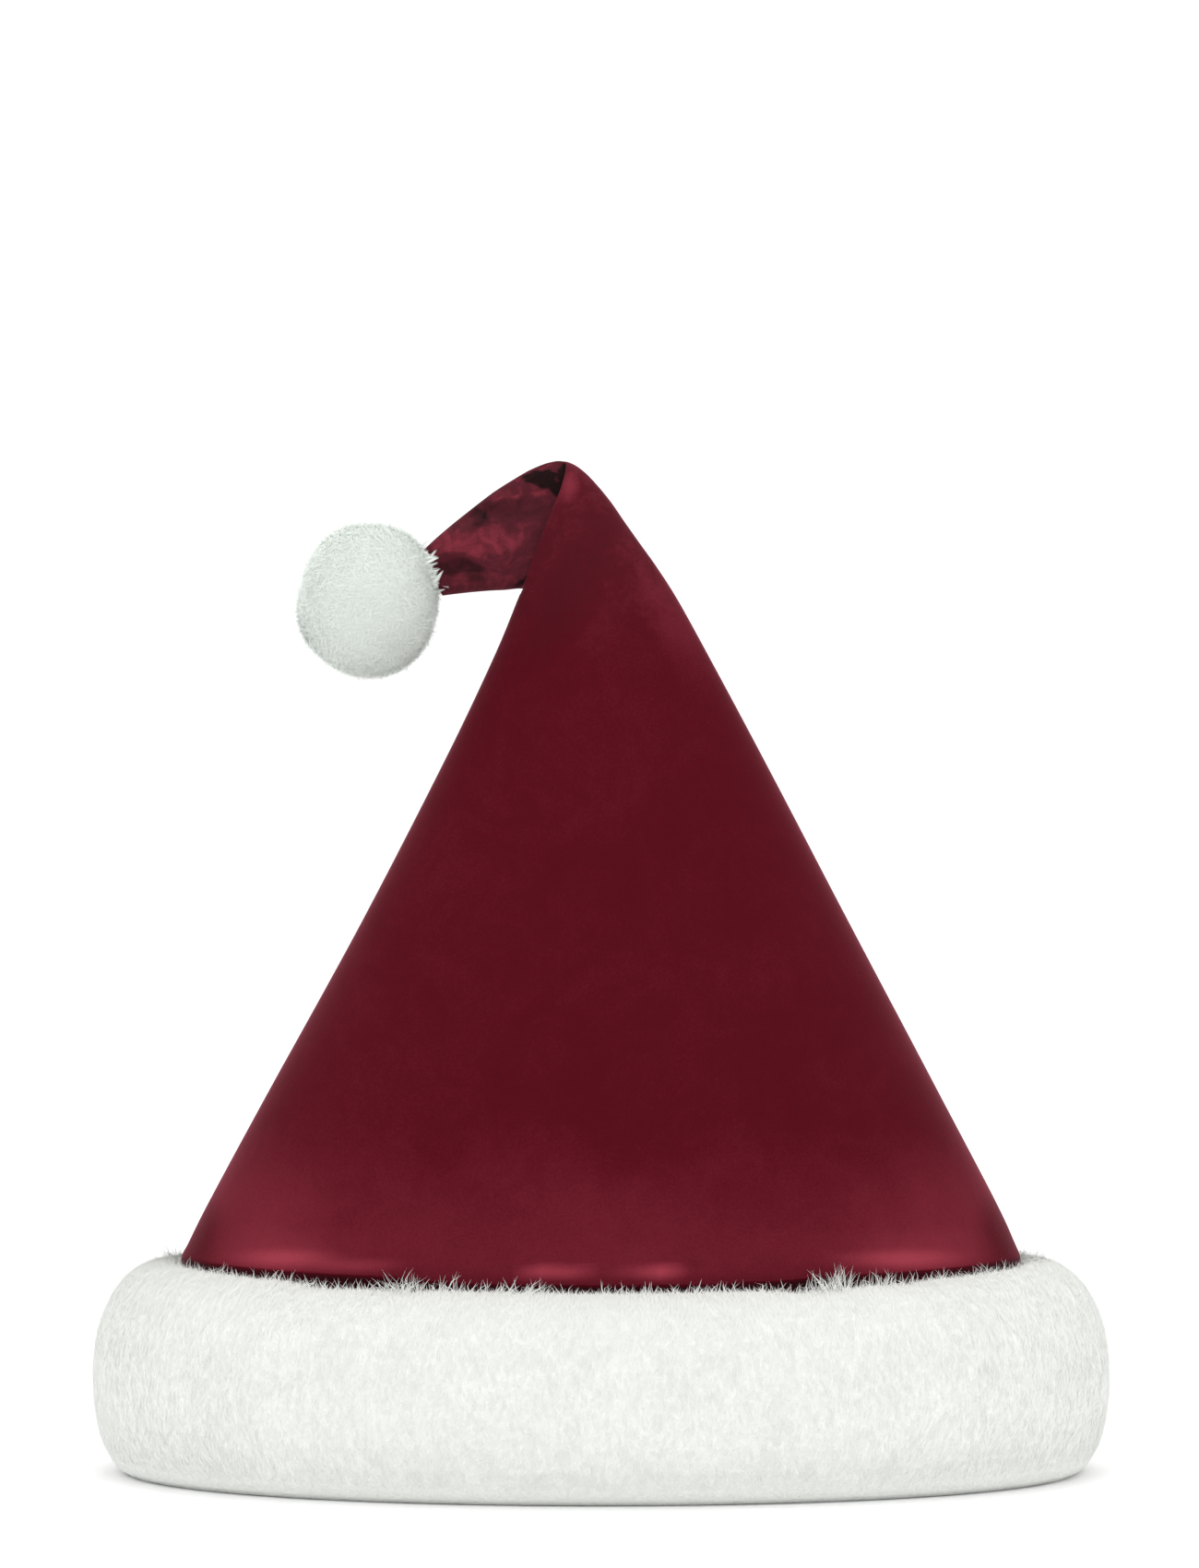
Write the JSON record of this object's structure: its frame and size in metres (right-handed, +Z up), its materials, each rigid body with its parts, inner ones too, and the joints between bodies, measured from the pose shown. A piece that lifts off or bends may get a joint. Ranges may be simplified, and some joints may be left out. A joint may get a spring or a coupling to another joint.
{
  "type": "santa hat",
  "caption": "Soft velvet cone hat with a folded tip, a thick plush band round its open bottom and a pompom; it stands on the band and goes over a head.",
  "frame": {"origin": "on the floor that the band rests on, in the middle of the hat's box", "axes": "+Z up, +X across the width towards the viewer's right, -Y the front, where the pleat of the fold shows"},
  "size_m": [0.2896, 0.171, 0.2879],
  "materials": {
    "velvet_red": "short-pile dark red velvet",
    "plush_white": "deep soft off-white plush",
    "plush_pompom": "dense off-white plush in short locks"
  },
  "bodies": {
    "root": {"crown": "velvet_red", "fur_band": "plush_white", "pompom": "plush_pompom"}
  },
  "joints": []
}
